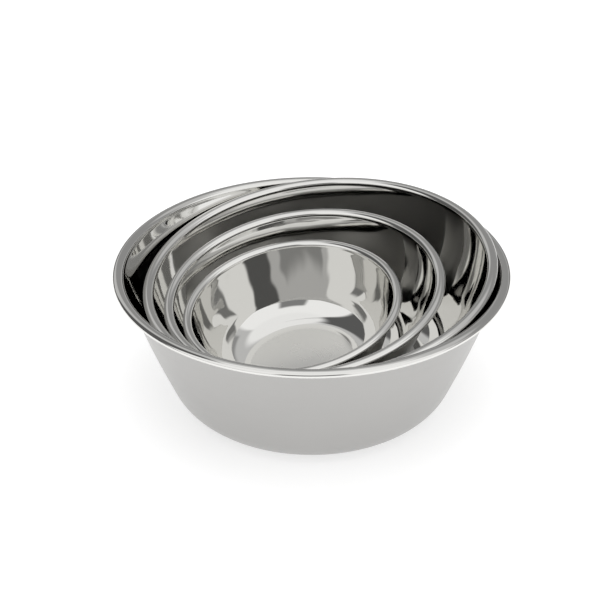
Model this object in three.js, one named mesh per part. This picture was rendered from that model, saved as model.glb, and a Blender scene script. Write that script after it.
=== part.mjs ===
// A nested set of four round steel bowls, each drawn from one disc of sheet.
// Millimetres, +Z up. The origin is the centre of the large bowl's underside.

import * as THREE from 'three';

const SHEET = 0.7;
const HALF_SHEET = SHEET / 2;

// How far the wall's top stands in from the inner side of its lip.
const LIP_INSET = 0.5;

// Each bowl: radius and height over the lip, flat floor, corner and wall, then the lip.
// floorRadius is where the floor's corner starts, and cornerRadius is the corner's outer arc.
// lowSlope and highSlope lean the wall outwards, in degrees from upright, low down and
// just under the lip, a curl lipWidth across and lipHeight deep that hangs outside the wall.
// rim is the centre of the lip's plane. The bowl leans by tilt degrees towards leanTo,
// an azimuth counted from +X towards +Y.
const BOWLS = {
  large_bowl: {
    radius: 140, height: 103.7, floorRadius: 74, cornerRadius: 31, lowSlope: 23, highSlope: 19,
    lipWidth: 8, lipHeight: 5.2,
    rim: [0, 0, 101.1], tilt: 0, leanTo: 0, sides: 44,
  },
  medium_bowl: {
    radius: 126.2, height: 88, floorRadius: 64, cornerRadius: 30, lowSlope: 23, highSlope: 16,
    lipWidth: 7.4, lipHeight: 5,
    rim: [5.4, 4.2, 95], tilt: 7.4, leanTo: -143, sides: 40,
  },
  small_bowl: {
    radius: 100.2, height: 70, floorRadius: 47, cornerRadius: 27, lowSlope: 22, highSlope: 15.5,
    lipWidth: 7, lipHeight: 5,
    rim: [-5.4, -5, 86.6], tilt: 9, leanTo: -140, sides: 36,
  },
  mini_bowl: {
    radius: 78.2, height: 54, floorRadius: 38, cornerRadius: 24.5, lowSlope: 20, highSlope: 14,
    lipWidth: 6.4, lipHeight: 4.8,
    rim: [-13.8, -11.4, 77.3], tilt: 10, leanTo: -141, sides: 32,
  },
};

const CORNER_STEPS = 5;
const WALL_STEPS = 5;
const CURL_STEPS = 9;
const CURL_END = -105;

const SATIN_STEEL = { color: 0xbdbcb8, roughness: 0.3, metalness: 1 };

const sin = (degrees) => Math.sin(THREE.MathUtils.degToRad(degrees));
const cos = (degrees) => Math.cos(THREE.MathUtils.degToRad(degrees));

// Points along an upright elliptic arc, in degrees from the outward direction.
function arcPoints(centre, halfWidth, halfHeight, from, to, steps) {
  const points = [];
  for (let i = 0; i <= steps; i += 1) {
    const angle = from + ((to - from) * i) / steps;
    points.push(new THREE.Vector2(
      centre.x + halfWidth * cos(angle),
      centre.y + halfHeight * sin(angle),
    ));
  }
  return points;
}

// A wall that leaves the corner at lowSlope and reaches its top at highSlope.
function wallPoints(foot, top, lowSlope, highSlope) {
  const reach = foot.distanceTo(top) / 3;
  const leave = new THREE.Vector2(sin(lowSlope), cos(lowSlope)).multiplyScalar(reach);
  const arrive = new THREE.Vector2(sin(highSlope), cos(highSlope)).multiplyScalar(reach);
  const curve = new THREE.CubicBezierCurve(foot, foot.clone().add(leave), top.clone().sub(arrive), top);
  return curve.getPoints(WALL_STEPS).slice(1);
}

// The middle of the sheet from the floor's centre, out and up, over the lip and under it.
function middleOfSheet(bowl) {
  const floor = new THREE.Vector2(0, HALF_SHEET);
  const cornerCentre = new THREE.Vector2(bowl.floorRadius, bowl.cornerRadius);
  const cornerArc = bowl.cornerRadius - HALF_SHEET;
  const corner = arcPoints(cornerCentre, cornerArc, cornerArc, -90, -bowl.lowSlope, CORNER_STEPS);

  const lipRadius = bowl.radius - bowl.lipWidth + HALF_SHEET;
  const wallTop = new THREE.Vector2(lipRadius - LIP_INSET, bowl.height - bowl.lipHeight);
  const wall = wallPoints(corner.at(-1), wallTop, bowl.lowSlope, bowl.highSlope);

  const curlCentre = new THREE.Vector2(
    bowl.radius - bowl.lipWidth / 2,
    bowl.height - bowl.lipHeight / 2,
  );
  const curlHalfWidth = bowl.lipWidth / 2 - HALF_SHEET;
  const curlHalfHeight = bowl.lipHeight / 2 - HALF_SHEET;
  const curl = arcPoints(curlCentre, curlHalfWidth, curlHalfHeight, 180, CURL_END, CURL_STEPS);
  return [floor, ...corner, ...wall, ...curl];
}

// The same line moved sideways by offset, to its right as it runs.
function movedSideways(line, offset) {
  return line.map((point, i) => {
    if (i === 0) {
      return new THREE.Vector2(0, point.y - offset);
    }
    const before = line[i - 1];
    const after = line[Math.min(i + 1, line.length - 1)];
    const along = after.clone().sub(before).normalize();
    return new THREE.Vector2(point.x + along.y * offset, point.y - along.x * offset);
  });
}

function bowlGeometry(bowl) {
  const middle = middleOfSheet(bowl);
  const outside = movedSideways(middle, HALF_SHEET);
  const inside = movedSideways(middle, -HALF_SHEET).reverse();
  const geometry = new THREE.LatheGeometry([...outside, ...inside], bowl.sides);
  geometry.rotateX(Math.PI / 2);
  return geometry;
}

function bowlMesh(name, bowl) {
  const material = new THREE.MeshStandardMaterial(SATIN_STEEL);
  const mesh = new THREE.Mesh(bowlGeometry(bowl), material);
  mesh.name = name;
  const up = new THREE.Vector3(0, 0, 1);
  const axis = new THREE.Vector3(
    sin(bowl.tilt) * cos(bowl.leanTo),
    sin(bowl.tilt) * sin(bowl.leanTo),
    cos(bowl.tilt),
  );
  mesh.quaternion.setFromUnitVectors(up, axis);
  const rimHeight = bowl.height - bowl.lipHeight / 2;
  mesh.position.set(...bowl.rim).addScaledVector(axis, -rimHeight);
  return mesh;
}

const bowlSet = new THREE.Group();
for (const [name, bowl] of Object.entries(BOWLS)) {
  bowlSet.add(bowlMesh(name, bowl));
}

export default bowlSet;
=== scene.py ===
"""A nested set of four round steel bowls on a pale floor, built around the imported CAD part."""

import math

import bmesh
import bpy
import numpy as np
from mathutils import Matrix, Vector


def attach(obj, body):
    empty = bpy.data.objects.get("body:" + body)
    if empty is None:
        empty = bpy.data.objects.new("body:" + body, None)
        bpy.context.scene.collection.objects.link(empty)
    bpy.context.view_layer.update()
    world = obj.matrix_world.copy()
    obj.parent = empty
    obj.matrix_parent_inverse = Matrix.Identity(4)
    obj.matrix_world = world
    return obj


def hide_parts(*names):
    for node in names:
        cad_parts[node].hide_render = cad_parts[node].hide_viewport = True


MM = 0.001

# The camera, in the row frame.
CAMERA_PLACE = Vector((0.0, -1.09396, 0.72646))
CAMERA_AIM = Vector((-0.00643, 0.85924, -0.51154))
CAMERA_ROLL = math.radians(0.28)
CAMERA_LENS = 107.2
CAMERA_SENSOR = 36.0

# The sheet and the bowls, in millimetres, as the CAD part has them. The slopes are degrees
# from upright: low at the corner, high under the lip. LIP_INSET is how far the wall's top
# stands in from the lip's inner side.
SHEET = 0.7
LIP_INSET = 0.5
BOWLS = {
    "large_bowl": {
        "radius": 140, "height": 103.7, "floor_radius": 74, "corner_radius": 31,
        "low_slope": 23, "high_slope": 19,
        "lip_width": 8, "lip_height": 5.2,
    },
    "medium_bowl": {
        "radius": 126.2, "height": 88, "floor_radius": 64, "corner_radius": 30,
        "low_slope": 23, "high_slope": 16,
        "lip_width": 7.4, "lip_height": 5,
    },
    "small_bowl": {
        "radius": 100.2, "height": 70, "floor_radius": 47, "corner_radius": 27,
        "low_slope": 22, "high_slope": 15.5,
        "lip_width": 7, "lip_height": 5,
    },
    "mini_bowl": {
        "radius": 78.2, "height": 54, "floor_radius": 38, "corner_radius": 24.5,
        "low_slope": 20, "high_slope": 14,
        "lip_width": 6.4, "lip_height": 4.8,
    },
}

# Each bowl is a little wavy from drawing: waves around, height in millimetres, waves up the
# wall. WAVE_SHIFT turns each wave against the others, and WAVE_TOP is where they fade out, as
# a share of the bowl's height.
WAVES = [(3, 0.05, 0.6), (5, 0.05, 1.1), (8, 0.04, 0.9), (13, 0.028, 2.2), (21, 0.014, 3.1)]
WAVE_SHIFT = 2.4
WAVE_TOP = 0.92

# The steels: colour, the depth of the spinning rings in metres, the least and most roughness,
# and how much rougher the scratches are.
POLISHED = ((0.76, 0.755, 0.735), 0.0000008, (0.025, 0.05), 0.03)
SATIN = ((0.46, 0.455, 0.445), 0.000003, (0.33, 0.38), 0.02)
GROUND = ((0.72, 0.715, 0.695), 0.0000003, (0.27, 0.29), 0.005)

# The steels' pattern, in features a metre, and what each one adds to the shine. The spans are
# the parts of the noise that the shine and the scratches run over.
RING_SCALE = 900
BAND_SCALE = 160
PATCH_SCALE = 28
SCRATCH_SCALE = 900
RING_SHARE = 0.3
BAND_SHARE = 0.25
PATCH_SHARE = 0.45
SHINE_SPAN = (0.35, 0.65)
SCRATCH_SPAN = (0.62, 0.75)

# BAND_HEIGHT is how high the broad bands stand against the rings, and RING_STRETCH how far the
# pattern drifts across a bowl, so that the rings aren't quite even.
BAND_HEIGHT = 0.5
RING_STRETCH = 0.012

# The order of the steels on each bowl.
SATIN_SLOT = 0
POLISHED_SLOT = 1
GROUND_SLOT = 2

# The studio: a grey room, and soft-edged panels in it, each laid over those before it. A row
# gives azimuth and half width, lowest and highest elevation and the soft edge's width, all in
# degrees, and then brightness. BACKGROUND is what the camera sees behind the floor.
ROOM = 0.6
PANELS = [
    # The big softbox in front and overhead.
    (-90, 85, 10, 100, 5, 1.05),
    (0, 180, 62, 100, 5, 1),
    # The dark gap in it where the camera stands.
    (-90, 18, -20, 38, 4, 0.25),
    # A white card low on the right, in front.
    (-40, 28, -20, 12, 4, 1.05),
    # A grey wall behind, darker to the left.
    (60, 50, 18, 44, 4, 0.32),
    (160, 25, 8, 64, 4, 0.12),
    # The dark foot of the room, all round the back.
    (90, 105, -20, 12, 4, 0.05),
]
BACKGROUND = 0.97
OVERHEAD_LIGHT = 40
OVERHEAD_SIZE = 3
OVERHEAD_HEIGHT = 2.4

# The floor's size in metres, its colour and how much it glows.
FLOOR_SIZE = 30
FLOOR_PAINT = 0.5
FLOOR_GLOW = 0.62

# The mesh: sides around, and steps along each stretch of the section. The curl runs from 180
# degrees, over the top, to CURL_END.
SIDES = 192
FLOOR_STEPS = 10
CORNER_STEPS = 18
WALL_STEPS = 28
BEND_STEPS = 6
CURL_STEPS = 30
CURL_END = -105


def elliptic_arc(centre, half_width, half_height, start, end, steps):
    """Points along an upright elliptic arc, in degrees from the outward direction."""
    angles = np.radians(np.linspace(start, end, steps + 1))
    return np.stack(
        [centre[0] + half_width * np.cos(angles), centre[1] + half_height * np.sin(angles)], 1
    )


def leaning(slope):
    """The upward direction that leans outwards by slope degrees."""
    return np.array([math.sin(math.radians(slope)), math.cos(math.radians(slope))])


def cubic(start, start_way, end, end_way, steps):
    """A curve from start to end that leaves along start_way and arrives along end_way."""
    reach = np.linalg.norm(end - start) / 3
    controls = [start, start + start_way * reach, end - end_way * reach, end]
    t = np.linspace(0, 1, steps + 1)[1:, None]
    return (
        controls[0] * (1 - t) ** 3
        + controls[1] * 3 * t * (1 - t) ** 2
        + controls[2] * 3 * t**2 * (1 - t)
        + controls[3] * t**3
    )


def middle_of_sheet(bowl):
    """The sheet's middle line, from the floor's centre out and up, over the lip and under it."""
    half = SHEET / 2
    floor = np.stack(
        [np.linspace(0, bowl["floor_radius"], FLOOR_STEPS + 1), np.full(FLOOR_STEPS + 1, half)], 1
    )
    corner_arc = bowl["corner_radius"] - half
    corner = elliptic_arc(
        (bowl["floor_radius"], bowl["corner_radius"]),
        corner_arc, corner_arc, -90, -bowl["low_slope"], CORNER_STEPS,
    )
    lip_start = np.array(
        [bowl["radius"] - bowl["lip_width"] + half, bowl["height"] - bowl["lip_height"] / 2]
    )
    wall_top = np.array([lip_start[0] - LIP_INSET, bowl["height"] - bowl["lip_height"]])
    wall = cubic(
        corner[-1], leaning(bowl["low_slope"]), wall_top, leaning(bowl["high_slope"]), WALL_STEPS
    )
    bend = cubic(wall_top, leaning(bowl["high_slope"]), lip_start, leaning(0), BEND_STEPS)
    curl = elliptic_arc(
        (bowl["radius"] - bowl["lip_width"] / 2, lip_start[1]),
        bowl["lip_width"] / 2 - half, bowl["lip_height"] / 2 - half, 180, CURL_END, CURL_STEPS,
    )
    return np.concatenate([floor, corner[1:], wall, bend, curl[1:]])


def sideways(line, offset):
    """The line moved to its right, as it runs, by offset."""
    along = np.gradient(line, axis=0)
    along /= np.linalg.norm(along, axis=1)[:, None]
    right = np.stack([along[:, 1], -along[:, 0]], 1)
    return line + right * offset


def lathe(name, outside, inside):
    """A closed sheet turned from its outside and inside lines. The outside is satin up to the
    lip's underside, the flat floor inside is ground, and the rest is polished."""
    mesh = bmesh.new()
    profile = np.concatenate([outside, inside[::-1]]) * MM
    last = len(profile) - 1
    rings = []
    for i, (radius, height) in enumerate(profile):
        if i in (0, last):
            rings.append([mesh.verts.new((0, 0, height))] * SIDES)
            continue
        ring = []
        for side in range(SIDES):
            angle = 2 * math.pi * side / SIDES
            ring.append(mesh.verts.new((radius * math.cos(angle), radius * math.sin(angle), height)))
        rings.append(ring)
    satin_rows = range(len(outside) - CURL_STEPS - 1)
    floor_rows = range(last - FLOOR_STEPS, last)
    for row, (low, high) in enumerate(zip(rings, rings[1:])):
        slot = POLISHED_SLOT
        if row in satin_rows:
            slot = SATIN_SLOT
        elif row in floor_rows:
            slot = GROUND_SLOT
        for side in range(SIDES):
            after = (side + 1) % SIDES
            corners = [low[side], low[after], high[after], high[side]]
            face = mesh.faces.new(list(dict.fromkeys(corners)))
            face.smooth = True
            face.material_index = slot
    data = bpy.data.meshes.new(name)
    mesh.to_mesh(data)
    mesh.free()
    own = data.attributes.new("own_place", "FLOAT_VECTOR", "POINT")
    own.data.foreach_set("vector", [c for vertex in data.vertices for c in vertex.co])
    piece = bpy.data.objects.new(name, data)
    bpy.context.scene.collection.objects.link(piece)
    return piece


def place_of(name):
    """Where a round CAD node stands: the turn and shift that take an upright bowl to it."""
    points = np.array([v.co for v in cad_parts[name].data.vertices])
    points = np.unique(points.round(6), axis=0)
    centre = points.mean(0)
    values, ways = np.linalg.eigh(np.cov((points - centre).T))
    gaps = [abs(values[1] - values[2]), abs(values[0] - values[2]), abs(values[0] - values[1])]
    axis = Vector(ways[:, int(np.argmin(gaps))])
    if axis.z < 0:
        axis.negate()
    lowest = min((Vector(p) - Vector(centre)).dot(axis) for p in points)
    base = Vector(centre) + axis * lowest
    turn = Vector((0, 0, 1)).rotation_difference(axis)
    return Matrix.Translation(base) @ turn.to_matrix().to_4x4()


def node(tree, kind, **settings):
    """A new shader node with its settings."""
    made = tree.nodes.new(kind)
    for name, value in settings.items():
        setattr(made, name, value)
    return made


def math_node(tree, operation, *values):
    """A Math node. Each value is a number or another node's output."""
    made = node(tree, "ShaderNodeMath", operation=operation)
    for socket, value in zip(made.inputs, values):
        if isinstance(value, bpy.types.NodeSocket):
            tree.links.new(value, socket)
        else:
            socket.default_value = value
    return made.outputs[0]


def ramp(tree, value, low, high, low_out=0, high_out=1):
    """value eased from low..high to low_out..high_out, and held beyond."""
    made = node(tree, "ShaderNodeMapRange", interpolation_type="SMOOTHSTEP")
    tree.links.new(value, made.inputs["Value"])
    made.inputs["From Min"].default_value = low
    made.inputs["From Max"].default_value = high
    made.inputs["To Min"].default_value = low_out
    made.inputs["To Max"].default_value = high_out
    return made.outputs["Result"]


def noise(tree, place, scale, detail=2.0, roughness=0.5):
    """Smooth noise about 0.5."""
    made = node(tree, "ShaderNodeTexNoise")
    tree.links.new(place, made.inputs["Vector"])
    made.inputs["Scale"].default_value = scale
    made.inputs["Detail"].default_value = detail
    made.inputs["Roughness"].default_value = roughness
    return made.outputs["Fac"]


def combine(tree, *values):
    """A vector from three numbers or outputs."""
    made = node(tree, "ShaderNodeCombineXYZ")
    for socket, value in zip(made.inputs, values):
        if isinstance(value, bpy.types.NodeSocket):
            tree.links.new(value, socket)
        else:
            socket.default_value = value
    return made.outputs[0]


def blend(tree, share, first, second):
    """first where share is 0, and second where it is 1."""
    change = math_node(tree, "SUBTRACT", second, first)
    return math_node(tree, "ADD", first, math_node(tree, "MULTIPLY", share, change))


def bowl_places(tree):
    """A point's place in its own upright bowl, and the same place stretched round the bowl's
    axis, so that noise on it draws rings."""
    own = node(tree, "ShaderNodeAttribute", attribute_name="own_place").outputs["Vector"]
    parts = node(tree, "ShaderNodeSeparateXYZ")
    tree.links.new(own, parts.inputs[0])
    x, y, z = parts.outputs
    radius = math_node(
        tree, "SQRT",
        math_node(tree, "ADD", math_node(tree, "POWER", x, 2), math_node(tree, "POWER", y, 2)),
    )
    across = math_node(tree, "ADD", radius, math_node(tree, "MULTIPLY", x, RING_STRETCH))
    along = math_node(tree, "ADD", z, math_node(tree, "MULTIPLY", y, RING_STRETCH))
    return own, combine(tree, across, along, 0)


def steel(name, base, grain, blur, worn):
    """Drawn steel: rings left by spinning, fine scratches, and a patchy shine. grain is the
    rings' bump depth in metres, blur the least and most roughness, worn how much rougher the
    scratches are."""
    material = bpy.data.materials.new(name)
    material.use_nodes = True
    tree = material.node_tree
    shader = tree.nodes["Principled BSDF"]
    shader.inputs["Base Color"].default_value = (*base, 1)
    shader.inputs["Metallic"].default_value = 1
    own, ringed = bowl_places(tree)
    rings = noise(tree, ringed, RING_SCALE, detail=3, roughness=0.6)
    bands = noise(tree, ringed, BAND_SCALE)
    patches = noise(tree, own, PATCH_SCALE, detail=3, roughness=0.55)
    scratches = noise(tree, own, SCRATCH_SCALE)
    mixed = math_node(
        tree, "ADD",
        math_node(tree, "MULTIPLY", rings, RING_SHARE),
        math_node(
            tree, "ADD",
            math_node(tree, "MULTIPLY", bands, BAND_SHARE),
            math_node(tree, "MULTIPLY", patches, PATCH_SHARE),
        ),
    )
    shine = ramp(tree, mixed, *SHINE_SPAN, *blur)
    marks = ramp(tree, scratches, *SCRATCH_SPAN, 0, worn)
    tree.links.new(math_node(tree, "ADD", shine, marks), shader.inputs["Roughness"])
    height = math_node(tree, "ADD", rings, math_node(tree, "MULTIPLY", bands, BAND_HEIGHT))
    bump = node(tree, "ShaderNodeBump")
    bump.inputs["Strength"].default_value = 1
    bump.inputs["Distance"].default_value = grain
    tree.links.new(height, bump.inputs["Height"])
    tree.links.new(bump.outputs["Normal"], shader.inputs["Normal"])
    return material


def wave(data, bowl):
    """Press the faint waves of a drawn wall into an upright bowl. They fade out at its lip."""
    height = bowl["height"] * MM
    for vertex in data.vertices:
        x, y, z = vertex.co
        angle = math.atan2(y, x)
        rise = z / height
        share = math.sin(math.pi * min(1, max(0, rise / WAVE_TOP))) ** 0.5
        push = sum(
            size * math.sin(count * angle + WAVE_SHIFT * count + 2 * math.pi * turns * rise)
            for count, size, turns in WAVES
        )
        way = Vector((x, y, 0)).normalized()
        vertex.co += way * (push * MM * share)


def make_bowl(name, bowl, materials):
    """One bowl in its CAD node's place, which it replaces."""
    middle = middle_of_sheet(bowl)
    outside = sideways(middle, SHEET / 2)
    inside = sideways(middle, -SHEET / 2)
    piece = lathe(name + "_sheet", outside, inside)
    for material in materials:
        piece.data.materials.append(material)
    wave(piece.data, bowl)
    piece.data.transform(place_of(name))
    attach(piece, name)
    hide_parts(name)
    return piece


def make_camera():
    """The camera, rolled a little about its own axis."""
    data = bpy.data.cameras.new("camera")
    data.lens = CAMERA_LENS
    data.sensor_width = CAMERA_SENSOR
    data.clip_end = 50
    camera = bpy.data.objects.new("camera", data)
    bpy.context.scene.collection.objects.link(camera)
    ahead = CAMERA_AIM.normalized()
    right = ahead.cross(Vector((0, 0, 1))).normalized()
    up = right.cross(ahead)
    right_rolled = right * math.cos(CAMERA_ROLL) - up * math.sin(CAMERA_ROLL)
    up_rolled = right * math.sin(CAMERA_ROLL) + up * math.cos(CAMERA_ROLL)
    turn = Matrix((right_rolled, up_rolled, -ahead)).transposed()
    camera.matrix_world = Matrix.Translation(CAMERA_PLACE) @ turn.to_4x4()
    bpy.context.scene.camera = camera


def make_floor():
    """A pale floor that glows a little, so that it stays near white under soft light."""
    bpy.ops.mesh.primitive_plane_add(size=FLOOR_SIZE)
    floor = bpy.context.object
    floor.name = "floor"
    material = bpy.data.materials.new("floor")
    material.use_nodes = True
    tree = material.node_tree
    shader = tree.nodes["Principled BSDF"]
    shader.inputs["Base Color"].default_value = (FLOOR_PAINT, FLOOR_PAINT, FLOOR_PAINT, 1)
    shader.inputs["Emission Color"].default_value = (1, 1, 1, 1)
    shader.inputs["Emission Strength"].default_value = FLOOR_GLOW
    shader.inputs["Roughness"].default_value = 0.9
    shader.inputs["Specular IOR Level"].default_value = 0
    floor.data.materials.append(material)


def sky_panel(tree, level, height, behind, panel):
    """What is behind, with one soft-edged panel over it. level is the direction's level part,
    one long, and height its elevation in degrees. behind is a brightness or an output."""
    azimuth, half_width, low, high, edge, brightness = panel
    facing = node(tree, "ShaderNodeVectorMath", operation="DOT_PRODUCT")
    tree.links.new(level, facing.inputs[0])
    turn = math.radians(azimuth)
    facing.inputs[1].default_value = (math.cos(turn), math.sin(turn), 0)
    near = math.cos(math.radians(max(0, half_width - edge)))
    far = math.cos(math.radians(min(180, half_width + edge)))
    cover = math_node(
        tree, "MULTIPLY",
        ramp(tree, facing.outputs["Value"], far, near),
        math_node(
            tree, "MULTIPLY",
            ramp(tree, height, low - edge, low + edge),
            ramp(tree, height, high - edge, high + edge, 1, 0),
        ),
    )
    return blend(tree, cover, behind, brightness)


def make_sky():
    """The studio as the steel reflects it, and the plain background that the camera sees."""
    world = bpy.data.worlds.new("studio")
    world.use_nodes = True
    tree = world.node_tree
    way = node(tree, "ShaderNodeTexCoord").outputs["Generated"]
    parts = node(tree, "ShaderNodeSeparateXYZ")
    tree.links.new(way, parts.inputs[0])
    flat = combine(tree, parts.outputs[0], parts.outputs[1], 0)
    level = node(tree, "ShaderNodeVectorMath", operation="NORMALIZE")
    tree.links.new(flat, level.inputs[0])
    height = math_node(tree, "DEGREES", math_node(tree, "ARCSINE", parts.outputs[2]))
    brightness = ROOM
    for panel in PANELS:
        brightness = sky_panel(tree, level.outputs[0], height, brightness, panel)
    seen = node(tree, "ShaderNodeLightPath").outputs["Is Camera Ray"]
    brightness = blend(tree, seen, brightness, BACKGROUND)
    tree.links.new(brightness, tree.nodes["Background"].inputs["Strength"])
    tree.nodes["Background"].inputs["Color"].default_value = (1, 1, 1, 1)
    bpy.context.scene.world = world


def make_light():
    """A soft light overhead for the bowls' shadow. It has no reflection of its own."""
    data = bpy.data.lights.new("overhead", "AREA")
    data.size = OVERHEAD_SIZE
    data.energy = OVERHEAD_LIGHT
    light = bpy.data.objects.new("overhead", data)
    light.location = (0, 0, OVERHEAD_HEIGHT)
    light.visible_glossy = False
    light.visible_camera = False
    bpy.context.scene.collection.objects.link(light)


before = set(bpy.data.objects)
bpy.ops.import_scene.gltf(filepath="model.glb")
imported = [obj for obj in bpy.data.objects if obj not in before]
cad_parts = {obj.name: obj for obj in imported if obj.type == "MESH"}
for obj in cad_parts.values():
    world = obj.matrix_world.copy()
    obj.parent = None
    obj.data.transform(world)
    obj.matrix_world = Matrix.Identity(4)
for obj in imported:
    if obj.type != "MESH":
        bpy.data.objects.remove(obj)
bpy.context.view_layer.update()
bpy.context.scene.view_settings.view_transform = "Standard"
make_camera()
make_floor()
make_sky()
make_light()
steels = [
    steel("satin_steel", *SATIN),
    steel("polished_steel", *POLISHED),
    steel("ground_steel", *GROUND),
]
for name, bowl in BOWLS.items():
    make_bowl(name, bowl, steels)
